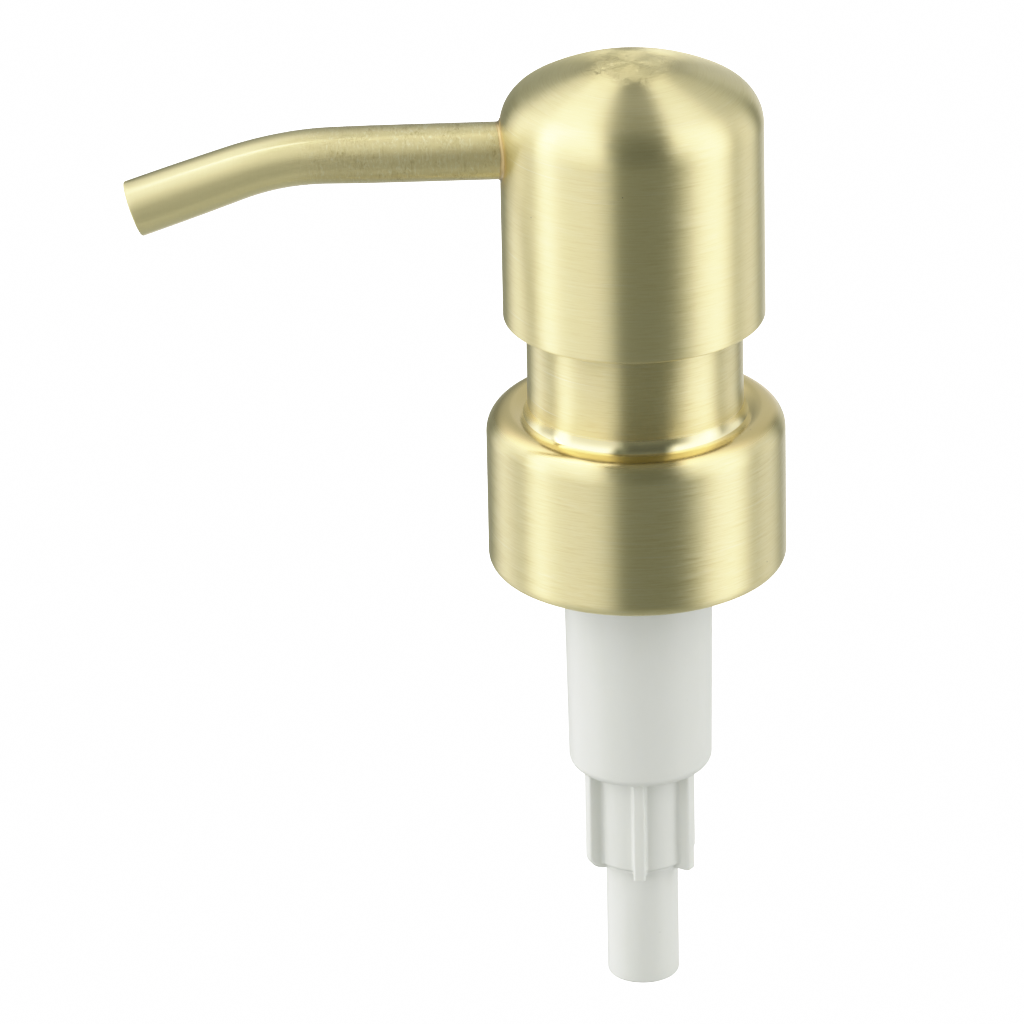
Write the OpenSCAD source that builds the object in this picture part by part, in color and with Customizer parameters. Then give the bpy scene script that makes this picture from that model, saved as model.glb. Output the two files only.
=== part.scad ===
// Soap pump dispenser head for a bottle with a 28 mm continuous-thread neck.
// Millimetres. +Z is up, along the pump's axis. The origin is on that axis, in the plane of the bottle's
// rim, which is the underside of the sealing gasket. The spout points along -X.

/* [Head] */
// Outer radius of the head shell
head_r = 14.4; // [13.8:0.1:15.5]
// Height of the top of the dome
dome_z = 48.3; // [48:0.1:49.5]
// Radius of the dome's crown
dome_r = 24.7; // [22:0.1:30]
// Radius of the dome's shoulder
dome_edge_r = 4.65; // [4:0.05:5.5]
// Thickness of the head shell
head_wall = 0.6; // [0.5:0.05:0.7]

/* [Spout] */
// Outer radius of the spout tube
spout_r = 3.175; // [3:0.025:3.2]
// Thickness of the spout tube
spout_wall = 0.5; // [0.45:0.05:0.55]
// Size of the bead of filler metal round the joint with the head
braze = 0.35; // [0.2:0.05:0.6]
// Height of the spout's straight run
spout_z = 38.5; // [38:0.1:39]
// Reach of the straight run from the axis
spout_run = 32.8; // [28:0.1:38]
// Radius of the spout's bend, at its centre line
spout_bend_r = 32; // [26:1:40]
// Angle that the spout bends down
spout_bend = 19; // [10:1:30]
// Length of the straight tip after the bend
spout_tip = 11.8; // [8:0.1:16]

/* [Collar] */
// Outer radius of the collar
collar_r = 16.5; // [16.4:0.1:17.5]
// Height of the crest of the collar's shoulder
collar_top = 7.8; // [7.5:0.1:8]
// Height of the collar's lower rim
collar_bottom = -10.6; // [-12:0.1:-10.5]
// Outer radius of the neck that the head slides down over
neck_r = 11.9; // [11.6:0.1:12.2]
// Height of the top of the neck
neck_top = 21; // [20.5:0.1:21.5]
// Angle that the shoulder dips at, from its crest in to the neck
dish = 20; // [5:1:30]
// Thickness of the collar shell
collar_wall = 0.5; // [0.4:0.05:0.5]

/* [Housing] */
// Outer radius of the pump barrel under its flange
barrel_r = 8.3; // [8.2:0.1:8.4]
// Outer radius of the pump barrel at its lower end
barrel_low_r = 8.0; // [7.9:0.1:8.2]
// Height of the barrel's lower end
barrel_bottom = -35.3; // [-37:0.1:-34]
// Radius of the barrel's bore
bore_r = 7.1; // [7:0.05:7.2]
// Radius of the ribbed spring chamber's wall
chamber_r = 5.3; // [5.1:0.1:5.6]
// Height of the spring chamber's lower end
chamber_bottom = -46.9; // [-47.5:0.1:-46.7]
// How far the ribs reach below the chamber's lower end
rib_drop = 0.45; // [0.1:0.05:0.8]
// Radius that the ribs reach
rib_r = 6.65; // [6:0.05:6.8]
// Thickness of a rib
rib_t = 1.35; // [1:0.05:1.6]
// Number of ribs
rib_count = 6; // [4:1:8]
// Angle of the first rib, from +X
rib_turn = -95; // [-120:5:0]
// Outer radius of the dip-tube socket
socket_r = 4.05; // [3.9:0.05:4.3]
// Radius of the dip tube that the socket takes
dip_tube_r = 3.0; // [2.8:0.1:3.1]
// Height of the socket's lower end
socket_bottom = -61.5; // [-64:0.1:-58]

/* [Motion] */
// Travel of the head
stroke = 10.5; // [9:0.1:10.6]
// Gap left between the head's rim and the collar's shoulder when the head is down
rim_gap = 0.55; // [0.4:0.05:1]
// Lift of the inlet ball
inlet_lift = 1.6; // [0.8:0.1:1.6]
// Lift of the outlet ball
outlet_lift = 0.9; // [0.5:0.1:0.9]

/* [Thread] */
// Radius at the crest of the closure's thread
thread_crest_r = 12.8; // [12.6:0.05:13]
// Radius at the root of the closure's thread
thread_root_r = 14.0; // [13.9:0.05:14.1]
// Height gained in one turn
thread_pitch = 4.23; // [4.2:0.01:4.3]
// Turns of thread
thread_turns = 1.25; // [1:0.05:1.3]

/* [Hidden] */
$fn = 96;
ARC_STEPS = 10;
FIT = 0.02;      // radial gap of a pressed fit
SLIDE = 0.05;    // radial gap of a running fit
CUT = 0.5;       // how far a cutting tool runs past a face
TIP_STEP = 0.005;    // how far the radius of the spout's straight tip is off its bend's
LEAD = 0.5;      // lead-in chamfer of a moulded part

GOLD = [0.80, 0.72, 0.46];
WHITE = [0.90, 0.91, 0.88];
NATURAL = [0.86, 0.87, 0.85];
STEEL = [0.72, 0.72, 0.74];

head_in = head_r - head_wall;
head_z = collar_top + stroke + rim_gap;         // height of the head's lower rim, with the head up
dome_centre_z = dome_z - dome_r;
dome_edge_x = head_r - dome_edge_r;
dome_edge_z = dome_centre_z + sqrt(pow(dome_r - dome_edge_r, 2) - pow(dome_edge_x, 2));
dome_edge_angle = atan2(dome_edge_z - dome_centre_z, dome_edge_x);

spout_start = head_in + SLIDE;  // the tube's inner end, within the shell's wall
liner_r = spout_r - spout_wall - SLIDE;
liner_wall = 0.6;
liner_start = 6.6;
liner_short = 0.4;              // how far the liner stops inside the tip

hub_r = 5.6;
hub_bottom = 24.5;
hub_top = dome_centre_z + sqrt(pow(dome_r - head_wall, 2) - pow(hub_r, 2)) - FIT;
core_web = [34.2, 36];          // lowest and highest z of the core's disc
core_ring = [32.6, 40.6];       // lowest and highest z of the ring that grips the shell
core_ring_in = 12.2;
core_rib_t = 1.2;
core_ribs = 6;
core_port_r = 4.2;
socket_ceiling = 33.6;          // where the stem's socket ends in the core
core_passage_r = 1.6;
core_stop = [1.75, 0.7];        // reach and width of the bars that stop the outlet ball

stem_r = 3.2;
stem_bore_r = 1.35;
stem_top = socket_ceiling - 2 * SLIDE;
stem_flange = [5.2, -3.4, -2.3];        // radius, lowest and highest z
stem_spigot_r = 2.4;
stem_bottom = -12.3;
stem_shoulder = -9.0;                   // where the spigot begins
piston_z = [stem_shoulder + FIT, stem_flange[1] - SLIDE];       // lowest and highest z of the piston's hub
piston_lips = [-9.6, -3.1];             // lowest and highest z of its wiping lips
retainer_flange = [4.7, -10.1, stem_shoulder - SLIDE];          // radius, lowest and highest z
retainer_boss_r = 3.3;

outlet_ball_r = 1.984;
outlet_seat_z = 28.5;
outlet_chamber_r = 2.35;
inlet_ball_r = 2.381;
inlet_seat_z = -46.6;
inlet_seat_r = 1.5;
inlet_chamber_r = 3.1;
cage_t = 0.8;                   // thickness of the ball cage
cage_reach = 1.8;               // radius that its fingers leave open
cage_fingers = 3;
BALL_GAP = 0.02;                // gap between a ball and its seat at rest
STOP_GAP = 0.05;                // gap between a ball and its stop when it is lifted
outlet_rest = ball_rest(outlet_ball_r, stem_bore_r, outlet_seat_z);
inlet_rest = ball_rest(inlet_ball_r, inlet_seat_r, inlet_seat_z);
core_stop_z = outlet_rest + outlet_ball_r + outlet_lift + STOP_GAP;

// The ledge for the cage and the spring, where the lifted ball meets the cage's fingers.
spring_ledge = inlet_rest + inlet_lift + sqrt(pow(inlet_ball_r, 2) - pow(cage_reach, 2)) + STOP_GAP;
spring_wire_r = 0.4;
spring_coil_r = 3.85;
spring_foot = spring_ledge + cage_t + SLIDE;
spring_top = retainer_flange[1] - SLIDE;
spring_turns = 11;
spring_dead_turns = 1;          // closed turns at each end
SPRING_SIDES = 8;
SPRING_RINGS = 18;              // rings in one turn

gasket_t = 1.2;
flange_r = 12.4;
flange_top = 2.6;
housing_top = 5.2;
barrel_straight = -11;          // the barrel's outside tapers below this height
seat_r = 8.1;                   // radius of the waist that the gasket drops into past the barrel
seat_bottom = -0.3;
chamber_bore_r = 4.4;
chamber_floor = -34.1;
socket_depth = 12.3;
vent_r = 0.6;
vent_z = -6.3;

chaplet_flange = [10.6, housing_top + 0.02, 6.4];   // radius, lowest and highest z
chaplet_plug_in = 5.9;
chaplet_tower_r = 4.7;
chaplet_floor = 1.2;            // thickness of its floor
chaplet_top = 13.8;
chaplet_bottom = -1.35;
seal_z = [-2.2, -1.4];
guide_r = stem_r + SLIDE;

closure_r = collar_r - collar_wall - FIT;
closure_top = 5.1;
closure_web = flange_top + 2 * SLIDE;
closure_bore_r = seat_r + 0.3;
closure_rise = 0.15;            // height of the closure's lower edge above the collar's rim
closure_bottom = collar_bottom + collar_wall + closure_rise;
closure_chamfer = 1.1;
thread_rise = 1.2;              // height of the thread's start above the closure's lower edge
thread_start = closure_bottom + thread_rise;
thread_base_w = 2.1;
thread_crest_w = 1.1;
THREAD_RINGS = 40;              // rings in one turn

neck_fillet = 0.35;
shoulder_r = 2.6;
shoulder = [collar_r - shoulder_r, collar_top - shoulder_r];    // centre of the shoulder's rounding
collar_rim_r = 1.5;

// The height at which a ball rests in a 45 degree seat whose lower edge has this radius and height.
function ball_rest(ball_r, seat_r, seat_z) = seat_z - seat_r + ball_r * sqrt(2) + BALL_GAP;

// Points along an arc in the radius and height plane.
function arc(c, r, from, to, steps = ARC_STEPS) =
    [for (i = [0:steps]) c + r * [cos(from + (to - from) * i / steps), sin(from + (to - from) * i / steps)]];

// A polyhedron through rings of points, closed at both ends.
module sweep(rings) {
    n = len(rings[0]);
    last = len(rings) - 1;
    sides = [for (i = [0:last - 1], j = [0:n - 1]) [i * n + j, i * n + (j + 1) % n, (i + 1) * n + (j + 1) % n,
        (i + 1) * n + j]];
    start = [[for (j = [n - 1:-1:0]) j]];
    end = [[for (j = [0:n - 1]) last * n + j]];
    polyhedron([for (ring = rings) each ring], concat(start, sides, end));
}

// A ring or tube between two radii and two heights.
module ring(inner, outer, low, high) {
    rotate_extrude() polygon([[inner, low], [outer, low], [outer, high], [inner, high]]);
}

// A bar along -X at the spout's height, from one reach to another.
module spout_bar(r, from, to) {
    translate([-from, 0, spout_z]) rotate([0, -90, 0]) cylinder(r = r, h = to - from);
}

// The head shell's half section, walked up the outside and down the inside.
module head_section() {
    rim = [head_r - head_wall / 2, head_z + head_wall / 2];
    crown = [0, dome_centre_z];
    edge = [dome_edge_x, dome_edge_z];
    polygon(concat(
        arc(rim, head_wall / 2, -180, 0),
        arc(edge, dome_edge_r, 0, dome_edge_angle),
        arc(crown, dome_r, dome_edge_angle, 90),
        arc(crown, dome_r - head_wall, 90, dome_edge_angle),
        arc(edge, dome_edge_r - head_wall, dome_edge_angle, 0)));
}

module head_shell() color(GOLD) {
    difference() {
        rotate_extrude() head_section();
        spout_bar(spout_r + FIT, core_ring_in, head_r + CUT);
    }
}

// A solid rod along the spout's centre line, from a reach inside the head to the tip. The straight tip has
// its own radius, a hair's breadth off the bend's, and starts a little inside it, so that they join cleanly.
module spout_rod(r, tip_r, from, tip) {
    lead = 0.2;
    bend_centre = [-spout_run, 0, spout_z - spout_bend_r];
    spout_bar(r, from, spout_run);
    translate(bend_centre) rotate([90, 0, 0]) rotate([0, 0, 90])
        rotate_extrude(angle = spout_bend) translate([spout_bend_r, 0]) circle(r = r);
    translate(bend_centre) rotate([0, -spout_bend, 0]) translate([lead, 0, spout_bend_r])
        rotate([0, -90, 0]) cylinder(r = tip_r, h = tip + lead);
}

// A tube along the spout's centre line.
module spout_pipe(outer, inner, from, tip) {
    difference() {
        spout_rod(outer, outer - TIP_STEP, from, tip);
        spout_rod(inner, inner + TIP_STEP, from - CUT, tip + CUT);
    }
}

module spout_tube() color(GOLD) {
    spout_pipe(spout_r, spout_r - spout_wall, spout_start, spout_tip);
}

module spout_braze() color(GOLD) {
    intersection() {
        difference() {
            spout_bar(spout_r + braze, core_ring_in, head_r + 2 * braze);
            spout_bar(spout_r, core_ring_in - CUT, head_r + 2 * braze + CUT);
        }
        ring(head_r, head_r + braze, spout_z - 2 * spout_r, spout_z + 2 * spout_r);
    }
}

module spout_liner() color(NATURAL) {
    spout_pipe(liner_r, liner_r - liner_wall, liner_start, spout_tip - liner_short);
}

module actuator_core() color(WHITE) {
    difference() {
        union() {
            ring(0, hub_r, hub_bottom, hub_top);
            ring(0, core_ring_in + CUT, core_web[0], core_web[1]);
            ring(core_ring_in, head_in - FIT, core_ring[0], core_ring[1]);
            for (i = [0:core_ribs - 1])
                rotate(i * 360 / core_ribs) translate([hub_r - CUT, -core_rib_t / 2, core_web[1] - CUT])
                    cube([core_ring_in - hub_r + 2 * CUT, core_rib_t, core_ring[1] - core_web[1]]);
            spout_bar(core_port_r, 0, core_ring_in + CUT);
        }
        translate([0, 0, hub_bottom - CUT]) cylinder(r = stem_r + FIT, h = socket_ceiling - hub_bottom + CUT);
        cylinder(r = core_passage_r, h = spout_z);
        spout_bar(core_passage_r, 0, liner_start + CUT);
        spout_bar(liner_r + FIT, liner_start - FIT, head_r + CUT);
    }
    for (turn = [0, 90])
        rotate(turn) translate([-core_stop[0], -core_stop[1] / 2, core_stop_z])
            cube([2 * core_stop[0], core_stop[1], socket_ceiling + CUT - core_stop_z]);
}

module outlet_ball() color(STEEL) {
    translate([0, 0, outlet_rest]) sphere(r = outlet_ball_r);
}

module inlet_ball() color(STEEL) {
    translate([0, 0, inlet_rest]) sphere(r = inlet_ball_r);
}

module stem() color(WHITE) {
    seat_top = outlet_seat_z + outlet_chamber_r - stem_bore_r;
    rotate_extrude() polygon([
        [stem_bore_r, stem_bottom], [stem_spigot_r, stem_bottom], [stem_spigot_r, stem_shoulder],
        [stem_r, stem_shoulder], [stem_r, stem_flange[1]], [stem_flange[0], stem_flange[1]],
        [stem_flange[0], stem_flange[2]], [stem_r, stem_flange[2]], [stem_r, stem_top],
        [outlet_chamber_r, stem_top], [outlet_chamber_r, seat_top], [stem_bore_r, outlet_seat_z]]);
}

module piston() color(NATURAL) {
    hub_out = 4.4;
    sleeve_in = 6.3;
    sleeve_out = 6.75;
    lip = bore_r - 0.03;
    lip_t = 0.35;
    lip_h = 1.1;
    web = [-7.0, -5.8];
    ring(stem_r + SLIDE, hub_out, piston_z[0], piston_z[1]);
    ring(hub_out, sleeve_in, web[0], web[1]);
    rotate_extrude() polygon([
        [sleeve_in, web[0]], [lip - lip_t, piston_lips[0]], [lip, piston_lips[0]],
        [lip, piston_lips[0] + lip_h / 2], [sleeve_out, piston_lips[0] + 2 * lip_h],
        [sleeve_out, piston_lips[1] - 2 * lip_h], [lip, piston_lips[1] - lip_h / 2],
        [lip, piston_lips[1]], [lip - lip_t, piston_lips[1]], [sleeve_in, web[1]]]);
}

module piston_retainer() color(WHITE) {
    rotate_extrude() polygon([
        [stem_spigot_r + FIT, stem_bottom], [retainer_boss_r - LEAD, stem_bottom],
        [retainer_boss_r, stem_bottom + LEAD], [retainer_boss_r, retainer_flange[1]],
        [retainer_flange[0], retainer_flange[1]], [retainer_flange[0], retainer_flange[2]],
        [stem_spigot_r + FIT, retainer_flange[2]]]);
}

// Height of the spring's centre line after a number of turns: closed at the ends, even between.
function spring_height(turn) =
    let (low = spring_foot + spring_wire_r, high = spring_top - spring_wire_r,
        dead = spring_dead_turns * 2 * spring_wire_r * 1.05,
        live = spring_turns - 2 * spring_dead_turns,
        pitch = (high - low - 2 * dead) / live)
    turn < spring_dead_turns ? low + dead * turn / spring_dead_turns
    : turn > spring_turns - spring_dead_turns ? high - dead * (spring_turns - turn) / spring_dead_turns
    : low + dead + pitch * (turn - spring_dead_turns);

module spring() color(STEEL) {
    steps = spring_turns * SPRING_RINGS;
    sweep([for (i = [0:steps]) let (turn = i / SPRING_RINGS, a = 360 * turn)
        [for (j = [0:SPRING_SIDES - 1]) let (b = 360 * j / SPRING_SIDES,
            r = spring_coil_r + spring_wire_r * cos(b))
            [r * cos(a), r * sin(a), spring_height(turn) + spring_wire_r * sin(b)]]]);
}

// The collar shell's half section: neck, fillet, dished shoulder, skirt and turned-in rim.
module collar_section() {
    edge = 0.15;
    crease_r = neck_r + neck_fillet;
    crease_z = shoulder[1] + (shoulder_r + neck_fillet) / cos(dish) - (shoulder[0] - crease_r) * tan(dish);
    fillet = [crease_r, crease_z];
    rim = [collar_r - collar_rim_r, collar_bottom + collar_rim_r];
    polygon(concat(
        [[neck_r - collar_wall, neck_top], [neck_r - edge, neck_top], [neck_r, neck_top - edge]],
        arc(fillet, neck_fillet, 180, 270 + dish),
        arc(shoulder, shoulder_r, 90 + dish, 0),
        arc(rim, collar_rim_r, 0, -90),
        arc(rim, collar_rim_r - collar_wall, -90, 0),
        arc(shoulder, shoulder_r - collar_wall, 0, 90 + dish),
        arc(fillet, neck_fillet + collar_wall, 270 + dish, 180)));
}

module collar_shell() color(GOLD) {
    rotate_extrude() collar_section();
}

// The helical ridge inside the closure, sunk a little into its wall.
module thread_ridge() {
    sink = 0.3;
    steps = floor(thread_turns * THREAD_RINGS);
    sweep([for (i = [0:steps])
        let (a = 360 * i / THREAD_RINGS, z = thread_start + thread_pitch * i / THREAD_RINGS)
        [for (p = [[thread_root_r + sink, 0], [thread_root_r + sink, thread_base_w],
            [thread_crest_r, (thread_base_w + thread_crest_w) / 2],
            [thread_crest_r, (thread_base_w - thread_crest_w) / 2]])
            [p[0] * cos(a), p[0] * sin(a), z + p[1]]]]);
}

module closure() color(WHITE) {
    mouth = 0.4;
    corner_r = shoulder_r - collar_wall - FIT;
    rotate_extrude() polygon(concat(
        [[closure_bore_r, closure_web], [thread_root_r, closure_web],
            [thread_root_r, closure_bottom + mouth], [thread_root_r + mouth, closure_bottom],
            [closure_r - closure_chamfer, closure_bottom], [closure_r, closure_bottom + closure_chamfer]],
        arc(shoulder, corner_r, 0, 90 + dish),
        [[shoulder[0] - corner_r * sin(dish), closure_top], [closure_bore_r, closure_top]]));
    thread_ridge();
}

module chaplet() color(WHITE) {
    rotate_extrude() polygon([
        [guide_r, chaplet_bottom], [bore_r - FIT, chaplet_bottom], [bore_r - FIT, chaplet_flange[1]],
        [chaplet_flange[0], chaplet_flange[1]], [chaplet_flange[0], chaplet_flange[2]],
        [chaplet_plug_in, chaplet_flange[2]], [chaplet_plug_in, chaplet_bottom + chaplet_floor],
        [chaplet_tower_r, chaplet_bottom + chaplet_floor], [chaplet_tower_r, chaplet_top - LEAD],
        [chaplet_tower_r - LEAD, chaplet_top], [guide_r + LEAD, chaplet_top],
        [guide_r, chaplet_top - LEAD]]);
}

module stem_seal() color(NATURAL) {
    ring(guide_r, bore_r - FIT, seal_z[0], seal_z[1]);
}

module gasket() color(NATURAL) {
    ring(barrel_r + SLIDE, flange_r, 0, gasket_t);
}

// The housing's outside, as one turned solid without its ribs.
module housing_outside() {
    corner = 1.2;
    foot = 0.35;
    step = barrel_r - seat_r;
    rotate_extrude() polygon(concat(
        [[0, housing_top], [seat_r, housing_top], [seat_r, flange_top], [flange_r, flange_top],
            [flange_r, gasket_t + FIT], [seat_r, gasket_t + FIT], [seat_r, seat_bottom],
            [barrel_r, seat_bottom - step], [barrel_r, barrel_straight]],
        arc([barrel_low_r - corner, barrel_bottom + corner], corner, 0, -90),
        [[chamber_r, barrel_bottom]],
        arc([chamber_r - foot, chamber_bottom + foot], foot, 0, -90, 4),
        [[socket_r + foot, chamber_bottom], [socket_r, chamber_bottom - foot]],
        arc([socket_r - foot, socket_bottom + foot], foot, 0, -90, 4),
        [[0, socket_bottom]]));
}

// The housing's inside: piston bore, spring chamber, ball chamber with its seat, and the dip-tube socket.
module housing_inside() {
    throat_top = socket_bottom + socket_depth;
    funnel = 1.5;
    seat_top = inlet_seat_z + inlet_chamber_r - inlet_seat_r;
    rotate_extrude() polygon([
        [0, housing_top + CUT], [bore_r, housing_top + CUT], [bore_r, chamber_floor + funnel],
        [chamber_bore_r, chamber_floor], [chamber_bore_r, spring_ledge], [inlet_chamber_r, spring_ledge],
        [inlet_chamber_r, seat_top], [inlet_seat_r, inlet_seat_z], [inlet_seat_r, throat_top],
        [dip_tube_r, throat_top], [dip_tube_r, socket_bottom - CUT], [0, socket_bottom - CUT]]);
}

module rib() {
    foot = 0.6;
    low = chamber_bottom - rib_drop;
    rotate([90, 0, 0]) linear_extrude(height = rib_t, center = true) polygon(concat(
        [[chamber_r - CUT, barrel_bottom + CUT], [rib_r, barrel_bottom + CUT]],
        arc([rib_r - foot, low + foot], foot, 0, -90, 5),
        [[socket_r - CUT, low], [socket_r - CUT, chamber_bottom + CUT],
            [chamber_r - CUT, chamber_bottom + CUT]]));
}

module ball_cage() color(WHITE) {
    finger_w = 1;
    rim_in = inlet_chamber_r + 0.1;
    ring(rim_in, chamber_bore_r - FIT, spring_ledge + FIT, spring_ledge + FIT + cage_t);
    for (i = [0:cage_fingers - 1])
        rotate(i * 360 / cage_fingers) translate([cage_reach, -finger_w / 2, spring_ledge + FIT])
            cube([rim_in + LEAD - cage_reach, finger_w, cage_t]);
}

module housing() color(WHITE) {
    difference() {
        union() {
            housing_outside();
            for (i = [0:rib_count - 1]) rotate(rib_turn + i * 360 / rib_count) rib();
        }
        housing_inside();
        translate([0, 0, vent_z]) rotate([-90, 0, 0]) cylinder(r = vent_r, h = barrel_r + CUT, $fn = 24);
    }
}

head_shell();
spout_tube();
spout_braze();
spout_liner();
actuator_core();
outlet_ball();
stem();
piston();
piston_retainer();
spring();
ball_cage();
inlet_ball();
housing();
chaplet();
stem_seal();
gasket();
closure();
collar_shell();
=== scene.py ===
import math

import bmesh
import bpy
from mathutils import Matrix, Vector


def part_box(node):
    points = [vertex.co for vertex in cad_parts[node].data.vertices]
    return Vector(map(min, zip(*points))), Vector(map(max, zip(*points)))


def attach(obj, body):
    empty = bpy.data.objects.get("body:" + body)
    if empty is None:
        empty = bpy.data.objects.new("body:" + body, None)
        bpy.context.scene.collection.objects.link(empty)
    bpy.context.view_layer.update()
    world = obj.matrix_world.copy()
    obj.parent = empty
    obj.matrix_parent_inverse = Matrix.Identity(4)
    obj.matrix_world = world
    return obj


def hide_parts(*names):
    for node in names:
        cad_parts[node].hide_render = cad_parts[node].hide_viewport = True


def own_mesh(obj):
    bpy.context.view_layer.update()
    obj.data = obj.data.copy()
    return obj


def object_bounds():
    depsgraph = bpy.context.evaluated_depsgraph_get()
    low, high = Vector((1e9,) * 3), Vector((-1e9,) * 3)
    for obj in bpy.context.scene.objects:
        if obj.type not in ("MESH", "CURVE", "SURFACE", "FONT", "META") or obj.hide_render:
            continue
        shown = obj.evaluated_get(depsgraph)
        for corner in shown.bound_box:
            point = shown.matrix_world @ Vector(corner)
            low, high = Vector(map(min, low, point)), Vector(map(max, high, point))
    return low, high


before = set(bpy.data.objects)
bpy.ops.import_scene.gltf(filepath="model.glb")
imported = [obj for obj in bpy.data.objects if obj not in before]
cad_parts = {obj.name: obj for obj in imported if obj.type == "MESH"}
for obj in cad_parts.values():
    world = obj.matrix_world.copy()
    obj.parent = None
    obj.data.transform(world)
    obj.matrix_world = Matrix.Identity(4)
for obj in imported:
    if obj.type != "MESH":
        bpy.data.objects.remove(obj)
CAD_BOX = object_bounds()

MM = 0.001
TURN = 2 * math.pi


# ---------------------------------------------------------------- camera

CAMERA_AZIMUTH = -92.3      # degrees from +X: in front, and a little to the spout's side
CAMERA_ELEVATION = 23.8
CAMERA_DISTANCE = 1.0
CAMERA_HEIGHT = 0.35 * MM   # height of the point on the axis that the camera circles
CAMERA_PAN = 0.791          # to the spout's side
CAMERA_TILT = -0.268
CAMERA_ROLL = 0.824
CAMERA_LENS = 318.7         # millimetres, on a sensor 36 wide
SENSOR = 36


def make_camera():
    az, el = math.radians(CAMERA_AZIMUTH), math.radians(CAMERA_ELEVATION)
    back = Vector((math.cos(el) * math.cos(az), math.cos(el) * math.sin(az), math.sin(el)))
    right = Vector((-math.sin(az), math.cos(az), 0))
    turned = Matrix((right, back.cross(right), back)).transposed()
    turned = turned @ Matrix.Rotation(math.radians(CAMERA_PAN), 3, "Y")
    turned = turned @ Matrix.Rotation(math.radians(CAMERA_TILT), 3, "X")
    turned = turned @ Matrix.Rotation(math.radians(-CAMERA_ROLL), 3, "Z")
    data = bpy.data.cameras.new("camera")
    data.lens = CAMERA_LENS
    data.sensor_width = SENSOR
    data.clip_end = 20
    camera = bpy.data.objects.new("camera", data)
    place = Matrix.Translation(back * CAMERA_DISTANCE + Vector((0, 0, CAMERA_HEIGHT)))
    camera.matrix_world = place @ turned.to_4x4()
    bpy.context.scene.collection.objects.link(camera)
    bpy.context.scene.camera = camera


# ---------------------------------------------------------------- node helpers

class Graph:
    """A node tree built with short calls; a socket that is given a number keeps it as a constant."""

    def __init__(self, tree):
        self.tree = tree
        tree.nodes.clear()

    def node(self, kind, inputs=None, **settings):
        made = self.tree.nodes.new(kind)
        for key, value in settings.items():
            setattr(made, key, value)
        for key, value in (inputs or {}).items():
            self.feed(made.inputs[key], value)
        return made

    def feed(self, socket, value):
        if isinstance(value, bpy.types.NodeSocket):
            self.tree.links.new(value, socket)
        else:
            socket.default_value = value

    def math(self, operation, a, b=0.0, clamp=False):
        made = self.node("ShaderNodeMath", {0: a, 1: b}, operation=operation, use_clamp=clamp)
        return made.outputs[0]

    def vector(self, operation, a, b=(0, 0, 0)):
        made = self.node("ShaderNodeVectorMath", {0: a, 1: b}, operation=operation)
        return made.outputs["Value" if operation == "LENGTH" else "Vector"]

    def scaled(self, a, factor):
        return self.node("ShaderNodeVectorMath", {0: a, "Scale": factor}, operation="SCALE").outputs["Vector"]

    def noise(self, vector, scale, detail=2.0, rough=0.5, distortion=0.0):
        made = self.node("ShaderNodeTexNoise", {"Vector": vector, "Scale": scale, "Detail": detail,
                                                "Roughness": rough, "Distortion": distortion})
        return made.outputs["Fac"]

    def bump(self, height, strength, distance):
        made = self.node("ShaderNodeBump", {"Strength": strength, "Distance": distance, "Height": height})
        return made.outputs[0]

    def spread(self, value, low, high, to_low=0.0, to_high=1.0, smooth=False):
        made = self.node("ShaderNodeMapRange", {"Value": value, "From Min": low, "From Max": high,
                                                "To Min": to_low, "To Max": to_high})
        made.interpolation_type = "SMOOTHSTEP" if smooth else "LINEAR"
        return made.outputs["Result"]

    def mix(self, factor, a, b):
        made = self.node("ShaderNodeMix", data_type="RGBA")
        for key, value in ((0, factor), (6, a), (7, b)):
            self.feed(made.inputs[key], value)
        return made.outputs[2]

    def ramp(self, factor, stops):
        made = self.node("ShaderNodeValToRGB", {"Fac": factor})
        made.color_ramp.interpolation = "LINEAR"
        elements = made.color_ramp.elements
        while len(elements) < len(stops):
            elements.new(0.5)
        for element, (at, level) in zip(elements, stops):
            element.position = at
            element.color = (level, level, level, 1)
        return made.outputs["Color"]


def colour(r, g, b):
    return (r, g, b, 1)


def new_material(name):
    material = bpy.data.materials.new(name)
    material.use_nodes = True
    return material, Graph(material.node_tree)


def principled(g, inputs):
    shader = g.node("ShaderNodeBsdfPrincipled", inputs)
    g.node("ShaderNodeOutputMaterial", {"Surface": shader.outputs[0]})


# ---------------------------------------------------------------- studio

# Brightness of the studio's soft panels by bearing, in degrees to the right of the camera as the
# object sees it.
PANELS = [(-180, 0.50), (-164, 0.36), (-144, 0.20), (-132, 0.90), (-118, 1.12), (-108, 0.62),
          (-94, 0.52), (-84, 1.56), (-76, 1.54), (-68, 0.90), (-56, 0.84), (-32, 0.80), (-22, 0.70),
          (-12, 0.22), (41, 0.20), (51, 0.56), (60, 1.10), (80, 1.58), (88, 1.20), (98, 0.40),
          (112, 0.82), (126, 0.96), (142, 0.16), (156, 0.95), (170, 0.98)]
PANEL_LIFT = 1.25           # share of the panels' light above the horizon, in front of the object
PANEL_FADE = 0.6            # and behind it
OVERHEAD_FRONT = 1.65       # brightness overhead, in front of the object
OVERHEAD_BACK = 0.53        # and behind it
OVERHEAD_SKEW = 0.3         # how far the light overhead leans to the spout's side
STRIP = 4.0                 # brightness of a narrow lamp overhead, to the spout's side
BELOW = 0.45                # brightness straight below
GAP = 0.20                  # brightness of the gap between the panels that the camera looks through
GAP_CENTRE = 14             # its bearing
GAP_CORE = (19, 29)         # degrees from that bearing over which its darker core ends
GAP_CORE_SHARE = 0.5        # share of the light that is left in the core
DARK_TINT = (0.98, 1.04, 0.88)      # of the studio's dark parts
BACKDROP = 1.7              # brightness of the plain backdrop past the floor
FILL_ASIDE = 50             # degrees from the camera's own bearing
FILL_HEIGHT = 20            # degrees above the horizon
FILL_SPREAD = 70            # degrees across
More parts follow.
